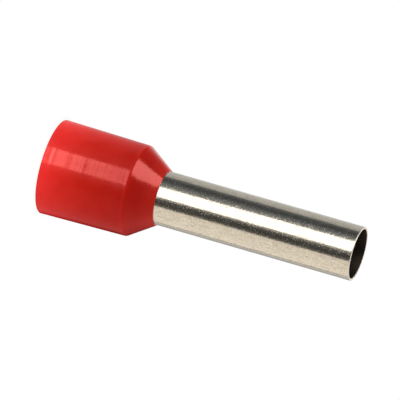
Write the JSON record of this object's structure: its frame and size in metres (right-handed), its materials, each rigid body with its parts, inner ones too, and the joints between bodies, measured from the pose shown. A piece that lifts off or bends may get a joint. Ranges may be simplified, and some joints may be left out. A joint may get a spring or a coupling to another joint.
{
  "type": "wire ferrule",
  "caption": "Insulated wire ferrule: a plain tinned crimp sleeve whose flared inner end sits in a red moulded collar with a drafted wall, a shoulder and a cone.",
  "frame": {"origin": "centre of the collar's mouth, on the surface that the ferrule stands on", "axes": "+Z runs along the ferrule's axis from the collar's mouth to the sleeve's tip; X and Y are any pair square to it"},
  "size_m": [0.0084, 0.0084, 0.0282],
  "materials": {
    "tinned_copper": "satin",
    "red_plastic": "gloss"
  },
  "bodies": {
    "root": {"sleeve": "tinned_copper", "collar": "red_plastic"}
  },
  "joints": []
}
